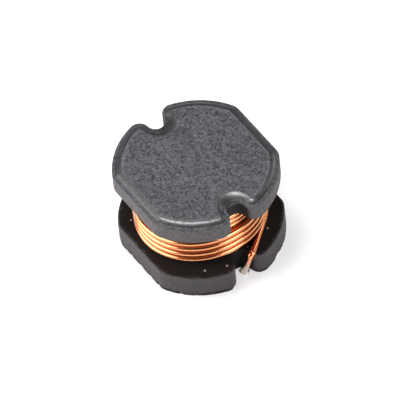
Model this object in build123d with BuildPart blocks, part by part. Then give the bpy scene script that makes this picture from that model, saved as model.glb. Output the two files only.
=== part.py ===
from build123d import *
from math import acos, atan2, cos, degrees, floor, hypot, radians, sin
import os

# A surface-mount power inductor: a ferrite drum core wound with one enamelled copper wire in two layers.
# The wire's ends leave the winding along the lower flange, bend down through a notch on each side and
# are soldered to two tinned terminals on the underside.
#
# Units are millimetres.  The origin is the centre of the footprint, at the level of the board.  +Z is up,
# +X points at the notch where the wire finishes, and the flats of the flanges face +Y and -Y.
# Angles are seen from above, anticlockwise from +X; the wire is wound clockwise.

# ---- Drum core ----
flange_diameter = 7.8
flat_depth = 0.4                   # how far each flat is cut into the round of a flange
flat_corner_radius = 0.8           # where a flat meets the round of a flange
bottom_flange_thickness = 1.34
winding_space = 2.65               # clear height between the flanges
top_flange_thickness = 1.05
winding_depth = 1.36               # from a flange's rim in to the post
notch_depth = 1.02                 # from a flange's rim in to the deepest line of a notch
notch_radius = 0.45
lip_radius = 0.5                   # the notch's mouth, where it opens into the rim
rim_land = 0.12                    # flat ring that the punch leaves round the upper face
bevel_width = 0.22
bevel_height = 0.13
bevel_crest_radius = 0.12          # where the bevel turns into the upper face
underside_chamfer = 0.08

# ---- Winding ----
wire_diameter = 0.30
wire_sides = 6                     # the wire's round section is drawn with six sides
turn_gap = 0.01
winding_clearance = 0.02           # between the wire and the core
inner_layer_end = -30              # angle where the inner layer reaches the upper flange
outer_layer_start = 100            # angle where the wire has come back down to the outer layer
crossing_turn_out = 60             # angle the wire takes to move out from one layer to the other
crossing_level = 60                # angle it runs level under the upper flange before coming down
outer_turns = 4
outer_turn_gap = 0.07              # the outer layer is wound looser than the inner one
step_start = 10                    # angle where each outer turn begins to step down to the next
step_sweep = 115
ride_start = 70                    # the last outer turns ride over the start lead between
ride_end = 230                     # these two angles
ride_ramp = 60
points_per_turn = 16

# ---- Leads ----
lead_plan_angle = -62              # the way a lead crosses the notch's lip, about the lip's centre
lead_landing = 0.1                 # from the lip's edge back to where a lead turns towards the notch
lead_bend_radius = 0.2
lead_end = (-0.13, 0.12)           # from the notch's centre
lead_end_height = 0.08

# ---- Terminals and solder ----
terminal_thickness = 0.06
terminal_separation = 3.0
terminal_margin = 0.1              # from a terminal's edge in to the flange's rim
solder_shift = 0.18                # from the wire's end towards the notch's wall
solder_base_radius = 0.28
solder_top_radius = 0.12
solder_height = 0.26

# ---- Sizes that follow ----
flange_radius = flange_diameter / 2
width_over_flats = flange_diameter - 2 * flat_depth
post_radius = flange_radius - winding_depth
wire_radius = wire_diameter / 2
core_base = terminal_thickness
floor_height = core_base + bottom_flange_thickness
ceiling_height = floor_height + winding_space
rim_height = ceiling_height + top_flange_thickness - bevel_height
lowest_turn = floor_height + winding_clearance + wire_radius
highest_turn = ceiling_height - winding_clearance - wire_radius
inner_layer_radius = post_radius + winding_clearance + wire_radius
inner_pitch = wire_diameter + turn_gap
outer_pitch = wire_diameter + outer_turn_gap
outer_layer_radius = inner_layer_radius + inner_pitch

# A notch is a round groove centred on the X axis; each corner of its mouth is an arc that is tangent to
# the groove and to the rim, so the arc's centre lies at a known distance from both of their centres.
notch_floor = flange_radius - notch_depth
notch_centre = notch_floor + notch_radius
lip_reach = flange_radius - lip_radius
lip_x = (lip_reach**2 + notch_centre**2 - (notch_radius + lip_radius) ** 2) / (2 * notch_centre)
lip_y = (lip_reach**2 - lip_x**2) ** 0.5


def mirrored(point):
    """The same point on the other side of the notch."""
    return Vector(point.X, -point.Y)


def notch_outline():
    """The material that a notch takes out of a flange, open to the outside."""
    lip = Vector(lip_x, lip_y)
    rim_point = lip * (flange_radius / lip_reach)
    groove_point = Vector(notch_centre, 0) * (lip_radius / (notch_radius + lip_radius)) + lip * (
        notch_radius / (notch_radius + lip_radius)
    )
    lip_point = lip + ((rim_point + groove_point) / 2 - lip).normalized() * lip_radius
    outside = Vector(2 * flange_radius, rim_point.Y)
    with BuildSketch(mode=Mode.PRIVATE) as outline:
        with BuildLine():
            ThreePointArc(mirrored(rim_point), mirrored(lip_point), mirrored(groove_point))
            ThreePointArc(mirrored(groove_point), (notch_floor, 0), groove_point)
            ThreePointArc(groove_point, lip_point, rim_point)
            Polyline(rim_point, outside, mirrored(outside), mirrored(rim_point))
        make_face()
    return outline.sketch


def flange_outline(margin=0):
    """A flange seen from above: a disc with two flats and two notches, drawn in by a margin."""
    notch = notch_outline()
    with BuildSketch(mode=Mode.PRIVATE) as outline:
        Circle(flange_radius)
        Rectangle(2 * flange_radius, width_over_flats, mode=Mode.INTERSECT)
        fillet(outline.vertices(), flat_corner_radius)
        add(notch, mode=Mode.SUBTRACT)
        add(notch.rotate(Axis.Z, 180), mode=Mode.SUBTRACT)
        if margin:
            offset(amount=-margin, kind=Kind.ARC)
    return outline.sketch


# ---- Drum core ----
with BuildPart() as drum_core:
    with BuildSketch(Plane.XY.offset(core_base)):
        add(flange_outline())
    extrude(amount=bottom_flange_thickness)
    chamfer(drum_core.faces().sort_by(Axis.Z)[0].edges(), underside_chamfer)

    with BuildSketch(Plane.XY.offset(floor_height)):
        Circle(post_radius)
    extrude(amount=winding_space)

    with BuildSketch(Plane.XY.offset(ceiling_height)):
        add(flange_outline())
    extrude(amount=rim_height - ceiling_height)

    with BuildSketch(Plane.XY.offset(rim_height)):
        add(flange_outline(rim_land))
    with BuildSketch(Plane.XY.offset(rim_height + bevel_height)):
        add(flange_outline(rim_land + bevel_width))
    loft(ruled=True)
    fillet(drum_core.faces().sort_by(Axis.Z)[-1].edges(), bevel_crest_radius)


# ---- Winding ----
def eased(x):
    """Rises smoothly from 0 to 1 as x does, and stays level outside."""
    x = min(max(x, 0), 1)
    return x * x * (3 - 2 * x)


def at_angle(radius, angle, height):
    """A point at a radius and an angle about the core's axis."""
    return Vector(radius * cos(radians(angle)), radius * sin(radians(angle)), height)


# A lead crosses the lip at this point and runs straight to the layer that it touches.
lead_away = Vector(cos(radians(lead_plan_angle)), sin(radians(lead_plan_angle)))
landing = Vector(lip_x, lip_y) + lead_away * (lip_radius - lead_landing)
landing_radius = hypot(landing.X, landing.Y)
landing_angle = degrees(atan2(landing.Y, landing.X))
first_angle = 180 - landing_angle - degrees(acos(inner_layer_radius / landing_radius))
last_angle = landing_angle + degrees(acos(outer_layer_radius / landing_radius))

# The inner layer takes as many turns as fit between the flanges.
inner_part_turn = (first_angle - inner_layer_end) / 360
inner_turns = inner_part_turn + floor((highest_turn - lowest_turn) / inner_pitch - inner_part_turn)
crossing_sweep = 360 + inner_layer_end - outer_layer_start
outer_sweep = 360 * outer_turns + outer_layer_start - last_angle
inner_sweep = 360 * inner_turns


def outer_height(angle, turns_left):
    """Height in the outer layer: rows one pitch apart, lifted where they ride over the start lead."""
    angle = angle % 360
    ride = eased((angle - ride_start) / ride_ramp) * eased((ride_end - angle) / ride_ramp)
    lift = inner_pitch * ride * (1 - turns_left / (outer_turns + 1))
    return lowest_turn + outer_pitch * turns_left + lift


def coil_point(wound):
    """The wire's centre after it has been wound through an angle."""
    angle = first_angle - wound
    if wound <= inner_sweep:
        climbed = (highest_turn - lowest_turn) * wound / inner_sweep
        return at_angle(inner_layer_radius, angle, lowest_turn + climbed)

    crossed = wound - inner_sweep
    if crossed <= crossing_sweep:
        radius = inner_layer_radius + inner_pitch * eased(crossed / crossing_turn_out)
        share_down = eased((crossed - crossing_level) / (crossing_sweep - crossing_level))
        fallen = (highest_turn - outer_height(angle, outer_turns)) * share_down
        return at_angle(radius, angle, highest_turn - fallen)

    passed_step = crossed - crossing_sweep - (outer_layer_start - step_start)
    whole_turns = floor(passed_step / 360)
    stepped = whole_turns + eased((passed_step - 360 * whole_turns) / step_sweep)
    return at_angle(outer_layer_radius, angle, outer_height(angle, outer_turns - stepped))


def straight_run(layer_point, side):
    """Where a lead runs straight between a layer and the notch's lip, starting at the layer."""
    lip_end = Vector(side * landing.X, landing.Y, lowest_turn)
    return [layer_point + (lip_end - layer_point) * share for share in (0.25, 0.5, 0.75)]


def lead_bends(side):
    """The corners of a lead's centre line, from the notch's lip to its end; side is 1 at +X, -1 at -X."""
    outside_lip = Vector(lip_x, lip_y) + lead_away * (lip_radius + wire_radius + winding_clearance)
    corners = [
        landing + Vector(0, 0, lowest_turn),
        outside_lip + Vector(0, 0, lowest_turn),
        Vector(notch_centre + lead_end[0], lead_end[1], lead_end_height),
    ]
    return [Vector(side * corner.X, corner.Y, corner.Z) for corner in corners]


coil_sweep = inner_sweep + crossing_sweep + outer_sweep
coil_steps = round(coil_sweep / 360 * points_per_turn)
coil_points = [coil_point(coil_sweep * step / coil_steps) for step in range(coil_steps + 1)]
wire_points = [
    *reversed(straight_run(coil_points[0], -1)),
    *coil_points,
    *straight_run(coil_points[-1], 1),
]

with BuildPart() as winding:
    with BuildLine(mode=Mode.PRIVATE):
        wire_path = Spline(*wire_points)
        upright_guide = wire_path.moved(Location((0, 0, 1)))
        start_lead = FilletPolyline(wire_points[0], *lead_bends(-1), radius=lead_bend_radius)
        finish_lead = FilletPolyline(wire_points[-1], *lead_bends(1), radius=lead_bend_radius)

    with BuildSketch(Plane(origin=wire_path @ 0, z_dir=wire_path % 0)):
        RegularPolygon(wire_radius, wire_sides)
    sweep(path=wire_path, binormal=upright_guide)

    wire_ends = winding.faces().filter_by(GeomType.PLANE).sort_by(Axis.X)
    sweep(sections=wire_ends[0], path=start_lead)
    sweep(sections=wire_ends[-1], path=finish_lead)


# ---- Terminals ----
def terminal(side):
    """A tinned pad on the underside of the lower flange, round one notch."""
    with BuildPart() as pad:
        with BuildSketch():
            add(flange_outline(terminal_margin))
            with Locations((side * (terminal_separation / 2 + flange_radius), 0)):
                Rectangle(2 * flange_radius, 2 * flange_radius, mode=Mode.INTERSECT)
        extrude(amount=terminal_thickness)
    return pad.part


with BuildPart() as terminal_start:
    add(terminal(-1))

with BuildPart() as terminal_finish:
    add(terminal(1))


# ---- Solder ----
def solder(side, pad, wire_end, lead):
    """The solder between the wire's end and the foot of a notch, which joins the wire to the terminal."""
    wire_foot = Vector(*lead_end)
    middle = wire_foot + wire_foot.normalized() * solder_shift
    with BuildPart() as joint:
        with Locations((side * (notch_centre + middle.X), middle.Y)):
            Cone(
                solder_base_radius, solder_top_radius, solder_height,
                align=(Align.CENTER, Align.CENTER, Align.MIN),
            )
        add(drum_core.part, mode=Mode.SUBTRACT)
        add(pad.part, mode=Mode.SUBTRACT)
        sweep(sections=wire_end, path=lead, mode=Mode.SUBTRACT)
    return joint.part


with BuildPart() as solder_start:
    add(solder(-1, terminal_start, wire_ends[0], start_lead))

with BuildPart() as solder_finish:
    add(solder(1, terminal_finish, wire_ends[-1], finish_lead))


# ---- Export ----
drum_core.part.label = "drum_core"
winding.part.label = "winding"
terminal_start.part.label = "terminal_start"
terminal_finish.part.label = "terminal_finish"
solder_start.part.label = "solder_start"
solder_finish.part.label = "solder_finish"

os.makedirs("parts", exist_ok=True)
export_step(drum_core.part, "parts/drum_core.step")
export_step(winding.part, "parts/winding.step")
export_step(terminal_start.part, "parts/terminal_start.step")
export_step(terminal_finish.part, "parts/terminal_finish.step")
export_step(solder_start.part, "parts/solder_start.step")
export_step(solder_finish.part, "parts/solder_finish.step")
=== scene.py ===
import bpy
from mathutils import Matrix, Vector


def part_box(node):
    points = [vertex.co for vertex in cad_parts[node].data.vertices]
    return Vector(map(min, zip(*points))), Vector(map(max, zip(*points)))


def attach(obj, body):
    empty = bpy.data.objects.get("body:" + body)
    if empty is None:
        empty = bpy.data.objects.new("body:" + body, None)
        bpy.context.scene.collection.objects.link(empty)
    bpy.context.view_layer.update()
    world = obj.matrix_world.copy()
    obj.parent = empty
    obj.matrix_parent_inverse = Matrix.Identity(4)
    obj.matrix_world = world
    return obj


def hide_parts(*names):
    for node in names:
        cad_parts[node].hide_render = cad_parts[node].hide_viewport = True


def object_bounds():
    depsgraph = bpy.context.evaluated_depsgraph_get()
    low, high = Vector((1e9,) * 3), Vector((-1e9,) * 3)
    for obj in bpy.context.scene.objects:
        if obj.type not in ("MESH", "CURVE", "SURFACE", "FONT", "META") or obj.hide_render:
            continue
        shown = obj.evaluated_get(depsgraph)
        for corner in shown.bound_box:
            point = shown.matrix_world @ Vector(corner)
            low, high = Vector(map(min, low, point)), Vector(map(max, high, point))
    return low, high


bl_info = {
    "name": "Wirewound Inductor",
    "version": (1, 0, 0),
    "blender": (4, 5, 0),
    "location": "3D View > Sidebar > Inductor",
    "description": "Dresses a surface-mount inductor: drum core, copper winding, terminals and solder",
    "category": "Object",
}

import bpy
import numpy as np
from bpy.props import FloatProperty, FloatVectorProperty, IntProperty, PointerProperty
from mathutils import Matrix, Vector

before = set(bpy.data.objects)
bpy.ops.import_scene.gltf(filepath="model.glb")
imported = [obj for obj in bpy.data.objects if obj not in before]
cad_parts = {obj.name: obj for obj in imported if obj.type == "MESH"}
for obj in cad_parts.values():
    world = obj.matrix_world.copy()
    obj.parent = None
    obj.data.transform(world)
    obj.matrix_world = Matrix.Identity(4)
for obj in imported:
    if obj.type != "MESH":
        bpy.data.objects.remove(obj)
CAD_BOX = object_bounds()
CORE_LOW, CORE_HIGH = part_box("drum_core")
MM = 0.001


# ---------------------------------------------------------------- sizes and colours that a user would change


def length(name, description, millimetres, high=20.0):
    return FloatProperty(
        name=name, description=description, default=millimetres * MM,
        min=0.0, max=high * MM, precision=6, unit="LENGTH",
    )


def angle(name, description, degrees):
    return FloatProperty(name=name, description=description, default=np.radians(degrees), unit="ROTATION")


def share(name, description, default):
    return FloatProperty(name=name, description=description, default=default, min=0.0, max=1.0)


def colour(name, description, rgb):
    return FloatVectorProperty(
        name=name, description=description, default=rgb, size=3, min=0.0, max=1.0, subtype="COLOR",
    )


class CoreSettings(bpy.types.PropertyGroup):
    """The drum core: two notched flanges on a round post."""

    diameter: length("Flange diameter", "Across the round of a flange", 7.8)
    over_flats: length("Width over flats", "Between the two flats of a flange", 7.0)
    flat_corner: length("Flat corner", "Radius where a flat meets the round", 0.8)
    notch_floor: length("Notch floor", "From the axis to the deepest line of a notch", 2.88)
    notch_radius: length("Notch radius", "Radius of the groove of a notch", 0.45)
    lip_radius: length("Lip radius", "Radius at each corner of a notch's mouth", 0.5)
    lower_thickness: length("Lower flange", "Thickness of the lower flange", 1.34)
    winding_space: length("Winding space", "Clear height between the flanges", 2.65)
    post_diameter: length("Post diameter", "Diameter of the post that carries the winding", 5.08)
    land: length("Rim land", "Width of the flat ring round the bevel", 0.12)
    land_radius: length("Land radius", "Rounding where the land turns up into the bevel", 0.02)
    bevel_width: length("Bevel width", "Width of the bevel inside the land", 0.22)
    bevel_height: length("Bevel height", "Height of the bevel inside the land", 0.13)
    notch_bevel: share("Notch bevel", "How much wider the land and bevel are at a notch", 0.45)
    crest_radius: length("Crest radius", "Rounding where the bevel turns into the upper face", 0.45)
    edge_radius: length("Edge radius", "Rounding of the pressed edges", 0.035)
    notch_edge_radius: length("Notch edge radius", "Rounding of the rim inside a notch", 0.10)
    ledge_radius: length("Ledge radius", "Rounding of the lower flange's upper edge", 0.14)
    foot_chamfer: length("Foot chamfer", "Chamfer round the underside", 0.08)
    chip_depth: length("Chip depth", "How deep the chips in the edges go", 0.05)
    foot_chip_depth: length("Foot chip depth", "How deep the chips round the underside go", 0.16)
    ferrite: colour("Ferrite", "Colour of the ground upper face", (0.082, 0.082, 0.091))
    ferrite_side: colour("Ferrite sides", "Colour of the pressed sides", (0.086, 0.077, 0.079))
    ferrite_pressed: colour("Pressed bevel", "Colour of the bevel", (0.026, 0.026, 0.028))
    # The lower flange's colour: painted shade and painted copper glow, darker and warmer than the upper
    # flange.
    ferrite_below_shaded: colour("Ferrite below", "Colour of the lower flange", (0.042, 0.036, 0.0355))
    # Also painted shade along the top and the foot of each flange's side.
    ferrite_dark: colour("Ferrite pores", "Colour in the ferrite's pores", (0.023, 0.023, 0.025))
    # Painted shade on the post's root, the ledge and the notches' walls, and along the foot.
    painted_shade: colour("Varnish", "Colour of the varnish and the dirt round the foot", (0.013, 0.0108, 0.0106))
    speck: colour("Specks", "Colour of the pale specks", (0.78, 0.73, 0.65))


class WireSettings(bpy.types.PropertyGroup):
    """The winding: one wire in two layers, wound clockwise from the start lead."""

    diameter: length("Wire diameter", "Over the enamel", 0.30)
    gap: length("Turn gap", "Between neighbouring turns and layers", 0.01)
    clearance: length("Clearance", "Between the wire and the core", 0.02)
    outer_turns: IntProperty(
        name="Outer turns", description="Turns in the outer layer", default=4, min=1, max=7,
    )
    outer_pitch: length("Outer pitch", "Height of one turn of the outer layer", 0.37)
    bend_radius: length("Bend radius", "Radius of the bends in the leads", 0.2)
    landing_inset: length("Landing inset", "From a lip's rim in to where its lead lies on the ledge", 0.1)
    foot_inset: length("Foot inset", "From a groove's centre in to the wire's end", 0.13)
    foot_shift: length("Foot shift", "From a notch's middle across to the wire's end", 0.12)
    foot_height: length("Foot height", "From the board up to the wire's end", 0.08)
    tinned_length: length("Tinned length", "Bare tinned wire at each end", 0.95)
    tin_fade: length("Tin fade", "Length over which the tin runs out", 0.9)
    collar_place: length("Collar place", "From the wire's end to the edge of its enamel", 1.62)
    collar_width: length("Collar width", "Half the width of the swelling at the edge of the enamel", 0.05)
    collar_swelling: share("Collar swelling", "How much thicker the wire is there", 0.12)
    bead_foot: length("Bead foot", "Radius of a solder bead at the foot", 0.27)
    bead_tip: length("Bead tip", "Radius of a solder bead near its tip", 0.13)
    bead_height: length("Bead height", "Height of a solder bead", 0.25)
    bead_shift: length("Bead shift", "From the wire's end towards the notch's wall", 0.18)
    copper: colour("Copper", "Colour of the enamelled copper", (0.88, 0.355, 0.155))
    # Painted shade between the turns.
    copper_crevice_shade: colour("Deep copper", "Colour of the wire between the turns", (0.48, 0.10, 0.029))
    tin: colour("Tin", "Colour of the tinned wire, the terminals and the solder", (0.70, 0.64, 0.59))
    tin_stained: colour("Stained tin", "Colour of the tin where copper shows through", (0.60, 0.43, 0.32))


class StageSettings(bpy.types.PropertyGroup):
    """The camera, the lamps and the floor."""

    azimuth: angle("Azimuth", "The camera's way round the part, from behind -Y towards +X", 60.414)
    elevation: angle("Elevation", "The camera's height above the horizon", 50.929)
    roll: angle("Roll", "The camera's turn about its own axis", 6.357)
    distance: length("Distance", "From the camera to the part", 500.0, high=2000.0)
    width: length("Frame width", "Width of the view at the part", 18.588)
    aim_height: length("Aim height", "Height on the part's axis that the camera is set by", 2.6)
    aim_right: length("Aim right", "How far to the right of the axis the camera looks", 0.0357)
    aim_below: length("Aim below", "How far below that height the camera looks", 0.143)
    floor: colour("Floor", "Colour of the floor", (0.80, 0.79, 0.785))
    floor_reach: length("Floor reach", "From the part to an edge of the floor", 1500.0, high=5000.0)
    floor_gap: length("Floor gap", "Between the part and the floor", 0.01)
    floor_glow: share("Floor glow", "Strength of the floor's glow near the part", 0.48)
    glow_start: length("Glow start", "How far from the part the glow starts to rise", 14.0, high=200.0)
    glow_end: length("Glow end", "How far from the part the glow is full", 50.0, high=200.0)


# ---------------------------------------------------------------- meshes


def eased(x):
    """3x^2 - 2x^3 with x held between 0 and 1: a level start, a smooth rise and a level end."""
    x = np.clip(x, 0.0, 1.0)
    return x * x * (3.0 - 2.0 * x)


def lattice_noise(points, size, seed):
    """Smooth noise from -1 to 1: random values at the corners of cubes of the given size, blended across
    each cube with the eased weights of its three coordinates."""
    period = 32
    values = np.random.default_rng(seed).uniform(-1.0, 1.0, (period, period, period))
    cell = points / size
    base = np.floor(cell).astype(int)
    weight = eased(cell - base)
    total = np.zeros(points.shape[:-1])
    for corner in np.ndindex(2, 2, 2):
        portion = np.prod(np.where(corner, weight, 1.0 - weight), axis=-1)
        i, j, k = np.moveaxis((base + corner) % period, -1, 0)
        total += portion * values[i, j, k]
    return total


def tube_mesh(name, rings, first_pole, last_pole, attributes=None, uv=None):
    """A closed surface through rings of points, one row a ring, shut by a fan to a pole at either end.
    A quad's corners are the points at rows r, r+1, r+1, r and columns k, k, k+1, k+1, and the column after
    the last is the first. It faces outwards if the rows run down and the columns anticlockwise."""
    rows, columns = rings.shape[:2]
    index = np.arange(rows * columns).reshape(rows, columns)
    following = np.roll(index, -1, axis=1)
    quads = np.stack([index[:-1], index[1:], following[1:], following[:-1]], axis=-1).reshape(-1, 4)
    first, last = np.full(columns, rows * columns), np.full(columns, rows * columns + 1)
    first_fan = np.stack([first, index[0], following[0]], axis=-1)
    last_fan = np.stack([last, following[-1], index[-1]], axis=-1)

    points = np.concatenate([rings.reshape(-1, 3), [first_pole, last_pole]])
    corners = np.concatenate([quads.ravel(), first_fan.ravel(), last_fan.ravel()])
    sizes = np.concatenate([np.full(len(quads), 4), np.full(2 * columns, 3)])

    mesh = bpy.data.meshes.new(name)
    mesh.vertices.add(len(points))
    mesh.vertices.foreach_set("co", points.astype(np.float32).ravel())
    mesh.loops.add(len(corners))
    mesh.loops.foreach_set("vertex_index", corners.astype(np.int32))
    mesh.polygons.add(len(sizes))
    mesh.polygons.foreach_set("loop_start", (np.cumsum(sizes) - sizes).astype(np.int32))
    mesh.polygons.foreach_set("use_smooth", np.ones(len(sizes), bool))
    mesh.update(calc_edges=True)
    mesh.validate()

    for key, values in (attributes or {}).items():
        layer = mesh.attributes.new(key, "FLOAT", "POINT")
        poles = values[0, 0], values[-1, 0]
        layer.data.foreach_set("value", np.concatenate([values.ravel(), poles]).astype(np.float32))
    if uv is not None:
        layer = mesh.uv_layers.new(name="wire")
        layer.data.foreach_set("uv", uv.astype(np.float32).ravel())

    piece = bpy.data.objects.new(name, mesh)
    bpy.context.scene.collection.objects.link(piece)
    return piece


def tube_uv(along, columns):
    """A place on the map for every corner of such a surface: u goes once round it from 0 to 1, and v is the
    length up to its row. The fans have u = 0."""
    u = np.linspace(0.0, 1.0, columns + 1)
    v_here, u_here = np.meshgrid(along[:-1], u[:-1], indexing="ij")
    v_next, u_next = np.meshgrid(along[1:], u[1:], indexing="ij")
    quads = np.stack([u_here, v_here, u_here, v_next, u_next, v_next, u_next, v_here], axis=-1)
    fan_v = np.repeat(along[[0, -1]], 3 * columns)
    fans = np.stack([np.zeros_like(fan_v), fan_v], axis=-1)
    return np.concatenate([quads.reshape(-1, 2), fans])


def bend(start, corner, end, radius, count):
    """Points of an arc of the given radius that rounds the corner between two straight lines: it starts and
    ends at the radius over the tangent of half the corner's angle from the corner."""
    start, corner, end = (np.array(p, float) for p in (start, corner, end))
    to_start = (start - corner) / np.linalg.norm(start - corner)
    to_end = (end - corner) / np.linalg.norm(end - corner)
    half_open = np.arccos(np.clip(to_start @ to_end, -1, 1)) / 2
    middle = (to_start + to_end) / np.linalg.norm(to_start + to_end)
    centre = corner + middle * radius / np.sin(half_open)
    first = corner + to_start * radius / np.tan(half_open) - centre
    last = corner + to_end * radius / np.tan(half_open) - centre
    sweep = np.pi - 2 * half_open
    passed = np.linspace(0.0, 1.0, count)[:, None]
    return centre + (np.sin((1 - passed) * sweep) * first + np.sin(passed * sweep) * last) / np.sin(sweep)


def between(first, last, count):
    """Evenly spaced points of the straight line between two points, without those two."""
    return np.linspace(first, last, count + 2)[1:-1]


def at_angle(radius, turn, height):
    """Points at a radius, an angle in degrees from +X towards +Y, and a height."""
    turn = np.radians(turn)
    return np.stack(np.broadcast_arrays(radius * np.cos(turn), radius * np.sin(turn), height), axis=-1)


# ---------------------------------------------------------------- drum core


# Columns in each stretch of a quarter of the outline, from the middle of a notch to the middle of a flat.
STRETCHES = {"groove": 18, "lip": 24, "round": 56, "corner": 12, "flat": 30}
QUARTER = sum(STRETCHES.values()) + 1

# Rows in the crown's arc, and the shares of the way out from circle to outline at which a face's rows lie.
CROWN_ROWS = 9
OUTWARDS = np.linspace(0.0, 1.0, 17)[1:]
INWARDS = np.linspace(1.0, 0.0, 8)[1:]

# From the deepest line of a notch in to the circle inside which a face's rows are round.
CIRCLE_INSET = 0.72 * MM


def core_heights(core):
    """The heights of the upper face, its land, the upper flange's underside, the ledge and the foot."""
    ledge = CORE_LOW.z + core.lower_thickness
    return CORE_HIGH.z, CORE_HIGH.z - core.bevel_height, ledge + core.winding_space, ledge, CORE_LOW.z


def notch_lip(core):
    """How far from the axis a groove's centre is, and the centre of the arc at the corner of the notch's
    mouth, at +X and +Y: it is one radius in from the rim, and as far from the groove's centre as the two
    radii together."""
    groove_x = core.notch_floor + core.notch_radius
    lip_reach = core.diameter / 2 - core.lip_radius
    apart = core.notch_radius + core.lip_radius
    lip_x = (lip_reach**2 + groove_x**2 - apart**2) / (2 * groove_x)
    return groove_x, lip_x, np.sqrt(lip_reach**2 - lip_x**2)


def whole(quarter):
    """A quarter's values and their mirror image, twice over: one for each column of the outline."""
    half = np.concatenate([quarter, quarter[1:-1][::-1]])
    return np.concatenate([half, half])


def in_groove(lip_portion=0.0):
    """One value for each column: from 1 at the deepest line of a notch, eased to 0 at the end of the groove,
    or, with a portion of the lip, 1 all through the groove and eased to 0 over that portion of the lip."""
    values = np.zeros(QUARTER)
    groove, lip = STRETCHES["groove"], STRETCHES["lip"]
    if lip_portion:
        values[:groove] = 1.0
        values[groove:groove + lip] = eased(1 - np.arange(lip) / (lip * lip_portion))
    else:
        values[:groove] = eased(1 - np.arange(groove) / groove)
    return whole(values)


def flange_ring(core, inset):
    """The flange's outline drawn in by each inset, as rows of points anticlockwise from +X. The insets are
    one for each row, or one for each row and column.
    A quarter is five stretches. Four are arcs about centres that don't move with the inset: the groove of
    the notch, whose radius grows by the inset, then the lip, the round rim and the flat's corner, whose
    radii shrink by it. The fifth is half of the flat. The other quarters are its mirror images."""
    inset = np.atleast_1d(inset)
    inset = np.repeat(inset[:, None], QUARTER, axis=1) if inset.ndim == 1 else inset[:, :QUARTER]
    ends = np.cumsum(list(STRETCHES.values()))[:-1]
    groove, lip, rim, corner, flat = np.split(inset[:, :-1], ends, axis=1)
    radius = core.diameter / 2
    half_width = core.over_flats / 2
    groove_x, lip_x, lip_y = notch_lip(core)
    corner_y = half_width - core.flat_corner
    corner_x = np.sqrt((radius - core.flat_corner) ** 2 - corner_y**2)
    to_lip = np.arctan2(lip_y, lip_x - groove_x)
    rim_start, rim_end = np.arctan2(lip_y, lip_x), np.arctan2(corner_y, corner_x)

    def arc(x, y, r, start, end):
        turn = np.linspace(start, end, r.shape[1], endpoint=False)
        return np.stack([x + r * np.cos(turn), y + r * np.sin(turn)], axis=-1)

    along_flat = np.linspace(corner_x, 0.0, flat.shape[1], endpoint=False)
    quarter = np.concatenate([
        arc(groove_x, 0.0, core.notch_radius + groove, np.pi, to_lip),
        arc(lip_x, lip_y, core.lip_radius - lip, to_lip - np.pi, rim_start),
        arc(0.0, 0.0, radius - rim, rim_start, rim_end),
        arc(corner_x, corner_y, core.flat_corner - corner, rim_end, np.pi / 2),
        np.stack(np.broadcast_arrays(along_flat, half_width - flat), axis=-1),
    ], axis=1)
    flat_middle = np.stack(np.broadcast_arrays(0.0, half_width - inset[:, -1:]), axis=-1)
    half = np.concatenate([quarter, flat_middle, quarter[:, 1:][:, ::-1] * (-1, 1)], axis=1)
    return np.concatenate([half, -half], axis=1)


def round_ring(radius, columns):
    """Circles of the given radii, with as many points as the outline."""
    turn = np.linspace(0.0, 2 * np.pi, columns, endpoint=False)[None, :]
    radius = np.atleast_1d(radius)[:, None]
    return np.stack([radius * np.cos(turn), radius * np.sin(turn)], axis=-1)


def upper_profile(core, edge_radius, widening):
    """The upper flange's profile from the crown down to its underside, as insets and heights: straight lines
    with an arc at every corner, and every inset grown by the widening."""
    top, rim, ceiling, _, _ = core_heights(core)
    crest = core.land + core.bevel_width
    inner, bevel_top, bevel_foot = (2 * crest, top), (crest, top), (core.land, rim)
    upper_corner, lower_corner = (0.0, rim), (0.0, ceiling)
    crown = bend(inner, bevel_top, bevel_foot, core.crest_radius, CROWN_ROWS)
    land = bend(bevel_top, bevel_foot, upper_corner, core.land_radius, count=4)
    edge = bend(bevel_foot, upper_corner, lower_corner, edge_radius, count=6)
    under = bend(upper_corner, lower_corner, (crest, ceiling), core.edge_radius, count=5)
    profile = np.concatenate([
        crown, between(crown[-1], land[0], count=4), land, between(land[-1], edge[0], count=2),
        edge, between(edge[-1], under[0], count=11), under,
    ])
    return profile * (1 + widening, 1)


def lower_profile(core):
    """The lower flange's profile from its ledge down to its foot: an arc, a straight side and a chamfer."""
    _, _, _, ledge, foot = core_heights(core)
    crest = core.land + core.bevel_width
    shoulder = bend((crest, ledge), (0.0, ledge), (0.0, foot), core.ledge_radius, count=8)
    chamfer = np.array([(0.0, foot + core.foot_chamfer), (core.foot_chamfer, foot)])
    side, slope = between(shoulder[-1], chamfer[0], count=15), between(*chamfer, count=2)
    return np.concatenate([shoulder, side, chamfer[:1], slope, chamfer[1:]])


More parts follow.
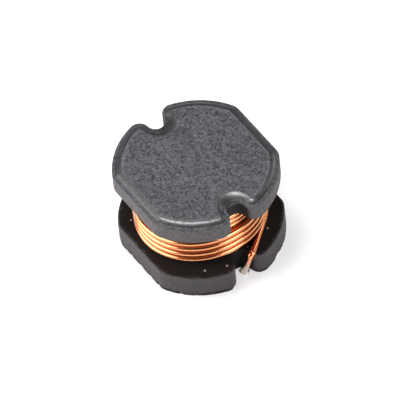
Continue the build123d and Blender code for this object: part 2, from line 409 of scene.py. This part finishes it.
def core_rows(core):
    """The core's surface as named groups of rows, from the middle of the upper face, out and down over both
    flanges and the post, to the middle of the underside. Each row is the outline drawn in by an inset, a
    circle, or a share of the way from one to the other. In the grooves of the upper flange the inset and
    the height go over, column by column, from one profile to another with a wider bevel and a rounder
    edge."""
    top, _, ceiling, ledge, foot = core_heights(core)
    post = core.post_diameter / 2
    circle = core.notch_floor - CIRCLE_INSET
    seam = 0.01 * MM
    groove = in_groove()
    columns = len(groove)
    plain = upper_profile(core, core.edge_radius, 0.0)
    rounder = upper_profile(core, core.notch_edge_radius, core.notch_bevel)
    upper = plain[:, None] + groove[None, :, None] * (rounder - plain)[:, None]
    lower = lower_profile(core)

    def at_height(rows, height):
        return np.concatenate([rows, np.broadcast_to(height, rows.shape[:2])[..., None]], axis=-1)

    def across(inset, radius, height, shares):
        shares = shares[:, None, None]
        rows = round_ring(radius, columns) * (1 - shares) + flange_ring(core, inset) * shares
        return at_height(rows, height)

    return {
        "face": at_height(round_ring(np.linspace(0.0, circle, 48)[1:], columns), top),
        "face_margin": across(upper[:1, :, 0] + seam, circle, top, OUTWARDS),
        "upper_rim": at_height(flange_ring(core, upper[..., 0]), upper[..., 1]),
        "ceiling": across(plain[-1, 0], post, ceiling, INWARDS),
        "post": at_height(
            round_ring([post, post, post], columns), np.linspace(ceiling, ledge, 5)[1:-1][:, None],
        ),
        "post_root": at_height(round_ring(post, columns), ledge),
        "ledge": across(lower[0, 0] + seam / 2, post, ledge, OUTWARDS),
        "lower_rim": at_height(flange_ring(core, lower[:, 0]), lower[:, 1][:, None]),
        "underside_margin": across(core.foot_chamfer, circle, foot, INWARDS),
        "underside": at_height(round_ring(np.linspace(circle, 0.0, 7)[1:-1], columns), foot),
    }


def core_shares(core, groups):
    """The shares from 0 to 1, one for each point, that the core's wear and its material read: how near it is
    to an edge, where chips are cut and painted shade darkens the sides, that it is on a side, on the pressed
    bevel or a notch's rim, or on the shiny crown, how far it is down towards the lower flange, which is
    painted darker and warmer as shade and copper glow, how much painted shade lies on the post's root, the
    ledge and the notches' walls, and how near it is to the foot, where painted contact shade lies.
    Nearness is exp(-(d/w)^2) with d the distance and w a width."""
    _, rim, ceiling, ledge, foot = core_heights(core)
    upper, lower = upper_profile(core, core.edge_radius, 0.0), lower_profile(core)
    upper_z, lower_z = upper[:, 1], lower[:, 1]
    groove, groove_and_lip = in_groove(), in_groove(lip_portion=0.6)
    edge_width, foot_width, step_width, flange_fade = 0.06 * MM, 0.24 * MM, 0.02 * MM, 0.8 * MM
    # Painted shade's share at the ledge's outer edge, and on the notches' walls.
    shade_at_ledge_edge, notch_wall_shade = 0.6, 0.8

    def over_rows(**values):
        rows = [np.broadcast_to(values.get(name, 0.0), len(group)) for name, group in groups.items()]
        return np.repeat(np.concatenate(rows)[:, None], len(groove), axis=1)

    def near_edge(profile, height):
        return np.exp(-(profile[:, 0] ** 2 + (profile[:, 1] - height) ** 2) / edge_width**2)

    near_foot = np.exp(-(((lower_z - foot) / foot_width) ** 2))
    bevel = over_rows(upper_rim=eased((upper_z - rim) / step_width))
    notch_rim = over_rows(upper_rim=eased((upper_z - rim + foot_width) / edge_width)) * groove
    walls = over_rows(upper_rim=eased((rim - upper_z) / foot_width), lower_rim=1.0) * groove_and_lip
    # Painted shade under the upper flange: the post's root and the ledge, thinner at the ledge's outer edge
    # and over the lower flange's shoulder.
    under_flange_shade = over_rows(
        post_root=1.0,
        ledge=1 - (1 - shade_at_ledge_edge) * eased((OUTWARDS - 0.8) / 0.2),
        lower_rim=shade_at_ledge_edge * eased((lower_z - ledge) / core.ledge_radius + 1),
    )
    height = np.concatenate(list(groups.values()))[..., 2]
    return {
        # Near the edges: chips are cut, and painted shade darkens the colour.
        "edge": over_rows(
            upper_rim=near_edge(upper, rim) + near_edge(upper, ceiling),
            lower_rim=near_edge(lower, ledge) + near_foot,
        ),
        "side": over_rows(upper_rim=eased((rim - upper_z) / edge_width), lower_rim=1.0),
        "pressed": np.maximum(bevel, notch_rim),
        "crown": over_rows(
            face_margin=OUTWARDS == 1.0, upper_rim=eased(1.6 - np.arange(len(upper)) / (CROWN_ROWS - 1)),
        ),
        # Painted shade and copper glow: the lower flange takes its darker, warmer colour.
        "foot": eased((ledge + flange_fade / 2 - height) / flange_fade),
        # Painted shade under the upper flange and on the notches' walls.
        "painted_shade": np.maximum(under_flange_shade, notch_wall_shade * walls),
        # Painted contact shade along the foot.
        "contact": over_rows(lower_rim=near_foot),
    }


def worn(core, rings, edge_share):
    """The same rows with the core's flaws. Every point outside the post is drawn in towards the axis by a
    few microns of a fine noise, and the upper face sinks by as much. Near an edge a point is also drawn in by
    as much as a coarser noise passes a limit, which leaves the chips, and low on the lower flange again by
    the whole of that noise above 0."""
    fine = 0.5 + 0.5 * lattice_noise(rings, 0.09 * MM, seed=3)
    coarse = lattice_noise(rings, 0.28 * MM, seed=7) + 0.5 * lattice_noise(rings, 0.12 * MM, seed=11)
    grain_depth, sink_depth, chip_limit = 0.006 * MM, 0.007 * MM, 0.45
    post_gap, post_fade, face_skin = 0.05 * MM, 0.2 * MM, 0.002 * MM

    chips = np.clip(coarse - chip_limit, 0.0, 1.0) * edge_share * core.chip_depth
    low = rings[..., 2] < CORE_LOW.z + core.lower_thickness * 0.6
    chips += np.clip(coarse, 0.0, 1.0) * edge_share * core.foot_chip_depth * low
    reach = np.hypot(rings[..., 0], rings[..., 1])
    inward = -rings[..., :2] / np.maximum(reach, 1e-9)[..., None]
    outside = eased((reach - core.post_diameter / 2 - post_gap) / post_fade)
    upper_face = rings[..., 2] > CORE_HIGH.z - face_skin
    moved = rings.copy()
    moved[..., :2] += inward * (chips + fine * grain_depth * outside)[..., None]
    moved[..., 2] -= upper_face * fine * sink_depth
    return moved


# ---------------------------------------------------------------- winding


# Where on its way round the wire does what, in degrees from +X towards +Y; it is wound the other way.
INNER_END = -30.0  # the inner layer ends, and the wire starts to cross to the outer one
OUTER_START = 100.0  # the crossing ends, and the outer layer starts
STEP_START = 10.0  # each turn of the outer layer starts to step down
RIDE_START, RIDE_END = 70.0, 230.0  # between these the outer layer rides over the start lead
LEAD_CROSSING = -62.0  # a lead crosses a notch's lip, seen from the centre of the lip's arc

# How many degrees of its way round the wire takes to move out, to step down, and to rise to its ride.
MOVE_OUT, STEP_DOWN, RIDE_RISE = 60.0, 115.0, 60.0

COIL_POINTS = 3200
LEAD_SPACING = 0.03 * MM
WIRE_SIDES = 20


def length_along(line):
    """The length up to each point of a line: the running total of the distances between its points."""
    return np.concatenate([[0.0], np.cumsum(np.linalg.norm(np.diff(line, axis=0), axis=1))])


def rounded_line(corners, radius):
    """A line through the corners with every bend an arc of the given radius, as evenly spaced points."""
    corners = np.array(corners, float)
    stretches = [corners[:1]]
    for before, corner, after in zip(corners[:-2], corners[1:-1], corners[2:]):
        stretches.append(bend(before, corner, after, radius, count=12))
    stretches.append(corners[-1:])
    line = np.concatenate(stretches)
    along = length_along(line)
    steps = np.linspace(0.0, along[-1], int(along[-1] / LEAD_SPACING) + 1)
    return np.stack([np.interp(steps, along, line[:, axis]) for axis in range(3)], axis=-1)


def wire_foot(core, wire):
    """Where the wire's finish end stands, in the notch at +X."""
    groove_x, _, _ = notch_lip(core)
    return np.array([groove_x - wire.foot_inset, wire.foot_shift, CAD_BOX[0].z + wire.foot_height])


def wire_limits(core, wire):
    """The heights of the lowest and the highest turn, and the radii of the inner and the outer layer, all at
    the wire's centre."""
    _, _, ceiling, ledge, _ = core_heights(core)
    lowest = ledge + wire.clearance + wire.diameter / 2
    highest = ceiling - wire.clearance - wire.diameter / 2
    inner = core.post_diameter / 2 + wire.clearance + wire.diameter / 2
    return lowest, highest, inner, inner + (wire.diameter + wire.gap)


def coil_line(core, wire, first, last):
    """The centre line of both layers, from one angle to another, in degrees.
    The inner layer is a helix that climbs evenly. The wire then moves out and comes down, both eased. The
    outer layer is level but for an eased step down by one pitch in each turn, and is lifted by one step
    between layers where it rides over the start lead, less so the more turns are left."""
    lowest, highest, inner, _ = wire_limits(core, wire)
    layer_step = wire.diameter + wire.gap
    part_turn = (first - INNER_END) / 360
    inner_sweep = 360 * (part_turn + np.floor((highest - lowest) / layer_step - part_turn))
    crossing_sweep = INNER_END - OUTER_START + 360
    outer_sweep = 360 * wire.outer_turns + OUTER_START - last
    wound = np.linspace(0.0, inner_sweep + crossing_sweep + outer_sweep, COIL_POINTS)
    turn = first - wound
    here = turn % 360
    ride = eased((here - RIDE_START) / RIDE_RISE) * eased((RIDE_END - here) / RIDE_RISE)

    def outer_height(turns_left):
        lift = layer_step * ride * (1 - turns_left / (wire.outer_turns + 1))
        return lowest + wire.outer_pitch * turns_left + lift

    crossed = wound - inner_sweep
    fallen = eased((crossed - MOVE_OUT) / (crossing_sweep - MOVE_OUT))
    crossing_height = highest + (outer_height(wire.outer_turns) - highest) * fallen
    passed = crossed - crossing_sweep - (OUTER_START - STEP_START)
    stepped = np.floor(passed / 360) + eased((passed % 360) / STEP_DOWN)
    on_inner, on_crossing = wound <= inner_sweep, crossed <= crossing_sweep
    height = np.where(
        on_inner, lowest + (highest - lowest) * wound / inner_sweep,
        np.where(on_crossing, crossing_height, outer_height(wire.outer_turns - stepped)),
    )
    reach = np.where(on_inner, inner, inner + layer_step * eased(crossed / MOVE_OUT))
    return at_angle(reach, turn, height)


def wire_line(core, wire):
    """The wire's centre line, from its start in the notch at -X to its finish in the notch at +X. Each lead
    leaves its layer at a tangent, runs level to the lip of its notch, and bends down over it to its foot.
    A tangent from a point at distance d touches a circle of radius r arccos(r / d) round from the point."""
    lowest, _, inner, outer = wire_limits(core, wire)
    _, lip_x, lip_y = notch_lip(core)
    lip = np.array([lip_x, lip_y, 0.0])
    away = at_angle(1.0, LEAD_CROSSING, 0.0)
    landing = lip + away * (core.lip_radius - wire.landing_inset)
    landing_reach = np.hypot(landing[0], landing[1])
    landing_angle = np.degrees(np.arctan2(landing[1], landing[0]))
    first = 180 - landing_angle - np.degrees(np.arccos(inner / landing_reach))
    last = landing_angle + np.degrees(np.arccos(outer / landing_reach))
    coil = coil_line(core, wire, first, last)

    outside = lip + away * (core.lip_radius + wire.diameter / 2 + wire.clearance)
    bends = [landing + (0, 0, lowest), outside + (0, 0, lowest), wire_foot(core, wire)]
    start_lead = rounded_line([coil[0]] + [b * (-1, 1, 1) for b in bends], wire.bend_radius)
    finish_lead = rounded_line([coil[-1]] + bends, wire.bend_radius)
    return np.concatenate([start_lead[:0:-1], coil, finish_lead[1:]])


def wire_shares(wire, along):
    """How much tin is on each point, eased from 1 to 0 over the tin's fade, and how near it is to the edge of
    the enamel, exp(-(d/w)^2) with d the distance and w the collar's width."""
    from_end = np.minimum(along, along[-1] - along)
    tinned = eased((wire.tinned_length - from_end) / wire.tin_fade + 0.5)
    collar = np.exp(-(((from_end - wire.collar_place) / wire.collar_width) ** 2))
    return tinned, collar


def carried_circle(line, radius):
    """Circles of the given radii carried along a line: their planes are square to the line, and their first
    direction is the way out from the core's axis, less what of it lies along the line."""
    tangent = np.gradient(line, axis=0)
    tangent /= np.linalg.norm(tangent, axis=1)[:, None]
    out = line * (1, 1, 0)
    out -= tangent * np.sum(out * tangent, axis=1)[:, None]
    out /= np.linalg.norm(out, axis=1)[:, None]
    side = np.cross(out, tangent)
    turn = np.linspace(0.0, 2 * np.pi, WIRE_SIDES, endpoint=False)[None, :, None]
    spokes = np.cos(turn) * out[:, None] + np.sin(turn) * side[:, None]
    return line[:, None] + radius[:, None, None] * spokes


def bead_rings(core, wire, side):
    """A bead of solder that leans on the notch's wall beside the wire's foot; side is 1 at +X and -1 at -X.
    The rows run down from the tip. The radius grows with the square of the way fallen, is rounded off at the
    tip by the root of 1 less the sixth power of the way left, and is dented by a noise."""
    foot = wire_foot(core, wire)
    inwards = foot * (1, 1, 0) - (notch_lip(core)[0], 0, 0)
    middle = foot + inwards / np.linalg.norm(inwards) * wire.bead_shift
    fallen = np.linspace(0.05, 1.0, 18)
    radius = wire.bead_tip + (wire.bead_foot - wire.bead_tip) * fallen**2
    radius *= np.sqrt(1 - (1 - fallen) ** 6)
    height = CAD_BOX[0].z + wire.bead_height * (1 - fallen)
    turn = np.linspace(0.0, side * 360.0, 28, endpoint=False)[None, :]
    rings = at_angle(radius[:, None], turn, height[:, None])
    dent_depth, dent_size = 0.12, 0.13 * MM
    dents = 1 + dent_depth * lattice_noise(rings, dent_size, seed=5 + side)
    rings[..., :2] = rings[..., :2] * dents[..., None] + middle[:2]
    return rings * (side, 1, 1)


# ---------------------------------------------------------------- materials


class Nodes:
    """A material's node tree, with short ways to add a node and to fill its inputs."""

    def __init__(self, name):
        self.material = bpy.data.materials.new(name)
        self.material.use_nodes = True
        self.tree = self.material.node_tree
        self.shader = self.tree.nodes["Principled BSDF"]

    def fill(self, node, key, value):
        """Join another node's output to an input, or set the input to a value."""
        if isinstance(value, bpy.types.NodeSocket):
            self.tree.links.new(value, node.inputs[key])
        else:
            node.inputs[key].default_value = value

    def surface(self, key, value):
        self.fill(self.shader, key, value)

    def add(self, kind, inputs=None, **settings):
        node = self.tree.nodes.new(kind)
        for key, value in settings.items():
            setattr(node, key, value)
        for key, value in (inputs or {}).items():
            self.fill(node, key, value)
        return node

    def place(self):
        return self.add("ShaderNodeTexCoord").outputs["Object"]

    def attribute(self, name):
        return self.add("ShaderNodeAttribute", attribute_name=name).outputs["Fac"]

    def noise(self, place, scale, detail, roughness):
        inputs = {"Vector": place, "Scale": scale, "Detail": detail, "Roughness": roughness}
        return self.add("ShaderNodeTexNoise", inputs).outputs["Fac"]

    def math(self, operation, first, second=0.0):
        return self.add("ShaderNodeMath", {0: first, 1: second}, operation=operation).outputs[0]

    def times(self, first, second):
        return self.math("MULTIPLY", first, second)

    def plus(self, first, second):
        return self.math("ADD", first, second)

    def ramp(self, value, low, high, to_low=0.0, to_high=1.0):
        """The value carried from one range to another in a straight line, and held at the ends."""
        inputs = {"Value": value, "From Min": low, "From Max": high, "To Min": to_low, "To Max": to_high}
        return self.add("ShaderNodeMapRange", inputs).outputs["Result"]

    def mix(self, portion, first, second, blend="MIX"):
        """Two colours mixed. The node has its inputs three times over, and those for colours are 6 and 7."""
        inputs = {0: portion, 6: first, 7: second}
        return self.add("ShaderNodeMix", inputs, data_type="RGBA", blend_type=blend).outputs[2]

    def tinted(self, first, second):
        return self.mix(1.0, first, second, blend="MULTIPLY")

    def grey(self, value):
        return self.add("ShaderNodeCombineColor", {"Red": value, "Green": value, "Blue": value}).outputs[0]

    def bump(self, height, strength, depth):
        bump = self.add("ShaderNodeBump", {"Height": height, "Strength": strength, "Distance": depth})
        self.surface("Normal", bump.outputs["Normal"])


def rgba(rgb):
    return (*rgb, 1.0)


def ferrite_material(core):
    """Sintered ferrite: a ground upper face with a mottled grain, a smoother pressed bevel round it, warmer
    sides, pores and pale specks, a lower flange painted darker and warmer as shade and copper glow, and
    painted shade along the edges, on the ledge, in the notches and round the foot."""
    n = Nodes("sintered_ferrite")
    place = n.place()
    edge, side, pressed, crown, foot, painted_shade, contact = (
        n.attribute(name) for name in ("edge", "side", "pressed", "crown", "foot", "painted_shade", "contact")
    )
    grain = n.noise(place, scale=8200.0, detail=3.0, roughness=0.68)
    mottle = n.noise(place, scale=3800.0, detail=3.0, roughness=0.6)
    cloud = n.noise(place, scale=1100.0, detail=3.0, roughness=0.5)
    pores = n.noise(place, scale=4600.0, detail=2.0, roughness=0.6)
    tint = n.noise(place, scale=3900.0, detail=2.0, roughness=0.5)

    # The flanges' colours, with the lower flange painted darker and warmer as shade and copper glow, and the
    # grain over them, which is calmer where the part is pressed.
    body = n.mix(side, rgba(core.ferrite), rgba(core.ferrite_side))
    body = n.mix(foot, body, rgba(core.ferrite_below_shaded))
    body = n.mix(pressed, body, rgba(core.ferrite_pressed))
    calm = n.times(n.ramp(pressed, 0.0, 1.0, 1.0, 0.8), n.ramp(side, 0.0, 1.0, 1.0, 0.5))
    spread = n.plus(n.ramp(grain, 0.32, 0.68, -0.8, 0.9), n.ramp(mottle, 0.34, 0.66, -0.28, 0.28))
    shade = n.math("MAXIMUM", n.plus(n.times(spread, calm), 1.0), 0.05)
    shade = n.times(shade, n.ramp(cloud, 0.3, 0.7, 0.85, 1.15))
    warm_tint, cool_tint = (1.04, 1.0, 0.97), (0.94, 0.995, 1.07)
    body = n.tinted(body, n.mix(n.ramp(tint, 0.4, 0.6), rgba(warm_tint), rgba(cool_tint)))
    body = n.tinted(body, n.grey(shade))

    # Dark pores, painted shade along the edges, then painted shade on the ledge, in the notches and along the
    # foot.
    body = n.mix(n.times(n.ramp(pores, 0.60, 0.70, 0.0, 0.8), calm), body, rgba(core.ferrite_dark))
    body = n.mix(n.times(edge, 0.35), body, rgba(core.ferrite_dark))
    recess_shade = n.ramp(n.plus(painted_shade, n.ramp(mottle, 0.3, 0.7, -0.14, 0.14)), 0.25, 0.6)
    contact_shade = n.ramp(n.plus(contact, n.ramp(mottle, 0.3, 0.7, -0.35, 0.35)), 0.2, 0.75)
    painted_dark = n.math("MAXIMUM", recess_shade, contact_shade)
    body = n.mix(painted_dark, body, rgba(core.painted_shade))

    # A cell holds a speck if its number passes a limit, which is lower where the painted shade is thick.
    cells = n.add("ShaderNodeTexVoronoi", {"Vector": place, "Scale": 2600.0}).outputs
    number = n.add("ShaderNodeSeparateColor", {"Color": cells["Color"]}).outputs["Red"]
    rare = n.math("GREATER_THAN", number, n.ramp(painted_shade, 0.85, 1.0, 0.997, 0.5))
    speck = n.times(n.ramp(cells["Distance"], 0.17, 0.09), rare)
    n.surface("Base Color", n.mix(n.times(speck, 0.7), body, rgba(core.speck)))

    # The ground face is dull and the bevel smoother, and only the crown shines.
    dull, smooth = n.ramp(cloud, 0.3, 0.7, 0.60, 0.72), n.ramp(tint, 0.3, 0.7, 0.34, 0.44)
    n.surface("Roughness", n.add("ShaderNodeMix", {0: pressed, 2: dull, 3: smooth}).outputs[0])
    shine = n.times(n.ramp(crown, 0.0, 1.0, 0.16, 0.56), n.ramp(painted_dark, 0.0, 1.0, 1.0, 0.4))
    n.surface("Specular IOR Level", shine)
    n.surface("IOR", 2.2)
    pits = n.ramp(pores, 0.58, 0.70, 0.0, -0.5)
    n.bump(n.times(n.plus(grain, pits), calm), strength=0.6, depth=0.012 * MM)
    return n.material


def wire_material(wire):
    """Copper under a clear tinted enamel, painted deeper in colour as shade between the turns, which turns
    into dull tin where the wire's end was dipped."""
    n = Nodes("enamelled_copper")
    place = n.place()
    uv = n.add("ShaderNodeUVMap", uv_map="wire").outputs["UV"]
    tinned = n.attribute("tinned")
    drawn = n.add("ShaderNodeMapping", {"Vector": uv, "Scale": (9.0, 420.0, 1.0)}).outputs["Vector"]
    streaks = n.noise(drawn, scale=1.0, detail=2.0, roughness=0.5)
    cloud = n.noise(place, scale=1100.0, detail=2.0, roughness=0.5)
    blotch = n.noise(place, scale=6500.0, detail=3.0, roughness=0.6)

    # u is 0 and 1 on the wire's outer side and 0.5 on its inner side.
    tone = n.ramp(n.plus(n.times(streaks, 0.5), n.times(cloud, 0.5)), 0.35, 0.65)
    u = n.add("ShaderNodeSeparateXYZ", {0: uv}).outputs["X"]
    outwards = n.math("ABSOLUTE", n.math("SUBTRACT", u, 0.5))
    # Painted shade: the deep copper colour on the wire's inner side and on its sides towards its neighbours.
    open_share = n.times(n.ramp(outwards, 0.22, 0.37), n.ramp(tone, 0.0, 1.0, 0.7, 1.0))
    copper = n.mix(open_share, rgba(wire.copper_crevice_shade), rgba(wire.copper))
    tin = n.mix(n.ramp(blotch, 0.35, 0.7), rgba(wire.tin), rgba(wire.tin_stained))
    n.surface("Base Color", n.mix(tinned, copper, tin))
    n.surface("Metallic", 1.0)
    n.surface("Roughness", n.plus(n.ramp(streaks, 0.3, 0.7, 0.17, 0.25), n.times(tinned, 0.12)))
    n.surface("Coat Weight", 0.2)
    n.surface("Coat Roughness", 0.12)
    lumps = n.times(n.times(blotch, tinned), 2.0)
    n.bump(n.plus(n.times(streaks, 0.4), lumps), strength=0.4, depth=0.008 * MM)
    return n.material


def tin_material(name, wire, dullness):
    """Tin that has set with a slightly uneven, dull skin."""
    n = Nodes(name)
    place = n.place()
    swirl = n.noise(place, scale=1900.0, detail=4.0, roughness=0.6)
    fine = n.noise(place, scale=9000.0, detail=2.0, roughness=0.5)
    darker = [0.72 * channel for channel in wire.tin]
    n.surface("Base Color", n.mix(n.ramp(swirl, 0.35, 0.65), rgba(darker), rgba(wire.tin)))
    n.surface("Metallic", 1.0)
    n.surface("Roughness", n.ramp(fine, 0.3, 0.7, dullness - 0.08, dullness + 0.08))
    n.bump(swirl, strength=0.5, depth=0.015 * MM)
    return n.material


def floor_material(stage):
    """A pale matte floor that the lamps light. Rays from the camera, and those that metal and glass send on,
    also see a glow in it, weaker near the part, so that it reads as white away from the part's shadow."""
    n = Nodes("studio_floor")
    place = n.place()
    tone = n.ramp(n.noise(place, scale=40.0, detail=2.0, roughness=0.55), 0.3, 0.7, 0.985, 1.0)
    n.surface("Base Color", n.tinted(n.grey(tone), rgba(stage.floor)))
    n.surface("Roughness", 0.9)
    n.surface("Specular IOR Level", 0.1)
    ray = n.add("ShaderNodeLightPath").outputs
    sent_on = n.math("MAXIMUM", ray["Is Glossy Ray"], ray["Is Transmission Ray"])
    seen = n.math("MAXIMUM", ray["Is Camera Ray"], sent_on)
    distance = n.add("ShaderNodeVectorMath", {0: place}, operation="LENGTH").outputs["Value"]
    glow = n.ramp(distance, stage.glow_start, stage.glow_end, stage.floor_glow, 1.0)
    n.surface("Emission Color", (1.0, 1.0, 1.0, 1.0))
    n.surface("Emission Strength", n.times(seen, glow))
    return n.material


# ---------------------------------------------------------------- operators


def ride(piece, material, slot, *nodes):
    """The piece rides on the part's one body, stands for its CAD nodes and wears its material."""
    piece.data.materials.append(material)
    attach(piece, "root")
    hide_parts(*nodes)


class INDUCTOR_OT_core(bpy.types.Operator):
    """Make the ferrite drum core, with its rounded edges and chips"""

    bl_idname = "inductor.core"
    bl_label = "Drum Core"

    def execute(self, context):
        core = context.scene.inductor_core
        groups = core_rows(core)
        shares = core_shares(core, groups)
        rings = worn(core, np.concatenate(list(groups.values())), shares["edge"])
        piece = tube_mesh("ferrite_core", rings, (0, 0, CORE_HIGH.z), (0, 0, CORE_LOW.z), shares)
        ride(piece, ferrite_material(core), "ferrite", "drum_core")
        return {"FINISHED"}


class INDUCTOR_OT_winding(bpy.types.Operator):
    """Make the winding and its two leads from one wire"""

    bl_idname = "inductor.winding"
    bl_label = "Winding"

    def execute(self, context):
        core, wire = context.scene.inductor_core, context.scene.inductor_wire
        line = wire_line(core, wire)
        along = length_along(line)
        tinned, collar = wire_shares(wire, along)
        rings = carried_circle(line, wire.diameter / 2 * (1 + wire.collar_swelling * collar))
        shares = {"tinned": np.repeat(tinned[:, None], WIRE_SIDES, axis=1)}
        uv = tube_uv(along, WIRE_SIDES)
        piece = tube_mesh("copper_winding", rings, line[0], line[-1], shares, uv)
        ride(piece, wire_material(wire), "copper_wire", "winding")
        return {"FINISHED"}


class INDUCTOR_OT_terminals(bpy.types.Operator):
    """Give the two terminals their dull tin"""

    bl_idname = "inductor.terminals"
    bl_label = "Terminals"

    def execute(self, context):
        material = tin_material("tin_plating", context.scene.inductor_wire, dullness=0.42)
        for name in ("terminal_start", "terminal_finish"):
            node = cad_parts[name]
            node.data.materials.clear()
            node.data.materials.append(material)
        return {"FINISHED"}


class INDUCTOR_OT_solder(bpy.types.Operator):
    """Make the two beads of solder at the wire's ends"""

    bl_idname = "inductor.solder"
    bl_label = "Solder"

    def execute(self, context):
        core, wire = context.scene.inductor_core, context.scene.inductor_wire
        material = tin_material("solder_skin", wire, dullness=0.34)
        for name, side in (("start", -1), ("finish", 1)):
            rings = bead_rings(core, wire, side)
            poles = rings[0].mean(axis=0), rings[-1].mean(axis=0)
            ride(tube_mesh(f"solder_bead_{name}", rings, *poles), material, "solder", f"solder_{name}")
        return {"FINISHED"}


class INDUCTOR_OT_stage(bpy.types.Operator):
    """Set up the camera, the lamps, the world and the floor"""

    bl_idname = "inductor.stage"
    bl_label = "Camera, Lamps and Floor"

    def execute(self, context):
        scene, stage = context.scene, context.scene.inductor_stage
        aim = self.place_camera(scene, stage)

        # Places and sizes in millimetres, power in watts.
        self.hang_lamp(scene, "overhead", at=(-8.5, -2.8, 59.4), size=(21, 21), power=0.0156, aim=aim)
        self.hang_lamp(scene, "left", at=(-20.4, -50.4, 25.4), size=(69, 51), power=0.041, aim=aim)
        self.hang_lamp(scene, "right", at=(52.4, 7.7, 28.2), size=(39, 44), power=0.018, aim=aim)
        self.hang_lamp(scene, "far_right", at=(1.8, 52.9, 28.2), size=(27, 32), power=0.005, aim=aim)

        corners = np.array([(-1, -1), (1, -1), (1, 1), (-1, 1)]) * stage.floor_reach
        mesh = bpy.data.meshes.new("floor")
        mesh.from_pydata([(x, y, -stage.floor_gap) for x, y in corners], [], [(0, 1, 2, 3)])
        mesh.materials.append(floor_material(stage))
        floor = bpy.data.objects.new("floor", mesh)
        scene.collection.objects.link(floor)

        world = bpy.data.worlds.new("studio")
        world.use_nodes = True
        scene.world = world
        background = world.node_tree.nodes["Background"]
        background.inputs["Color"].default_value = (0.97, 0.985, 1.0, 1.0)
        background.inputs["Strength"].default_value = 0.055
        scene.view_settings.view_transform = "Standard"
        return {"FINISHED"}

    def place_camera(self, scene, stage):
        """Place the camera on the sphere round the aim, where its azimuth and elevation say, turned by its
        roll about the line of sight, and return the aim."""
        a, e, r = stage.azimuth, stage.elevation, stage.roll
        back = Vector((np.sin(a) * np.cos(e), -np.cos(a) * np.cos(e), np.sin(e)))
        level = Vector((np.cos(a), np.sin(a), 0.0))
        upright = back.cross(level)
        right = level * np.cos(r) - upright * np.sin(r)
        up = level * np.sin(r) + upright * np.cos(r)
        aim = Vector((0.0, 0.0, stage.aim_height)) + right * stage.aim_right - up * stage.aim_below

        data = bpy.data.cameras.new("camera")
        data.sensor_width = 36.0
        data.lens = data.sensor_width * stage.distance / stage.width
        data.clip_start, data.clip_end = 0.01, 10.0
        camera = bpy.data.objects.new("camera", data)
        facing = Matrix((right, up, back)).transposed().to_4x4()
        camera.matrix_world = Matrix.Translation(aim + back * stage.distance) @ facing
        scene.collection.objects.link(camera)
        scene.camera = camera
        return aim

    def hang_lamp(self, scene, name, at, size, power, aim):
        """Hang an oval lamp that faces the aim."""
        data = bpy.data.lights.new(name, "AREA")
        data.shape, data.energy = "ELLIPSE", power
        data.size, data.size_y = size[0] * MM, size[1] * MM
        lamp = bpy.data.objects.new(name, data)
        place = Vector(at) * MM
        facing = (place - aim).to_track_quat("Z", "Y").to_matrix().to_4x4()
        lamp.matrix_world = Matrix.Translation(place) @ facing
        scene.collection.objects.link(lamp)


class INDUCTOR_PT_panel(bpy.types.Panel):
    """The inductor's pieces and settings"""

    bl_idname = "INDUCTOR_PT_panel"
    bl_label = "Inductor"
    bl_space_type = "VIEW_3D"
    bl_region_type = "UI"
    bl_category = "Inductor"

    def draw(self, context):
        for operator in OPERATORS:
            self.layout.operator(operator.bl_idname)
        for key, group in SETTINGS.items():
            box = self.layout.box()
            for name in group.__annotations__:
                box.prop(getattr(context.scene, key), name)


SETTINGS = {
    "inductor_core": CoreSettings,
    "inductor_wire": WireSettings,
    "inductor_stage": StageSettings,
}
OPERATORS = (
    INDUCTOR_OT_core,
    INDUCTOR_OT_winding,
    INDUCTOR_OT_terminals,
    INDUCTOR_OT_solder,
    INDUCTOR_OT_stage,
)


def register():
    for cls in (*SETTINGS.values(), *OPERATORS, INDUCTOR_PT_panel):
        bpy.utils.register_class(cls)
    for key, group in SETTINGS.items():
        setattr(bpy.types.Scene, key, PointerProperty(type=group))


def unregister():
    for key in SETTINGS:
        delattr(bpy.types.Scene, key)
    for cls in reversed((*SETTINGS.values(), *OPERATORS, INDUCTOR_PT_panel)):
        bpy.utils.unregister_class(cls)


def main():
    register()
    bpy.ops.inductor.core()
    bpy.ops.inductor.winding()
    bpy.ops.inductor.terminals()
    bpy.ops.inductor.solder()
    bpy.ops.inductor.stage()


if __name__ == "__main__":
    main()
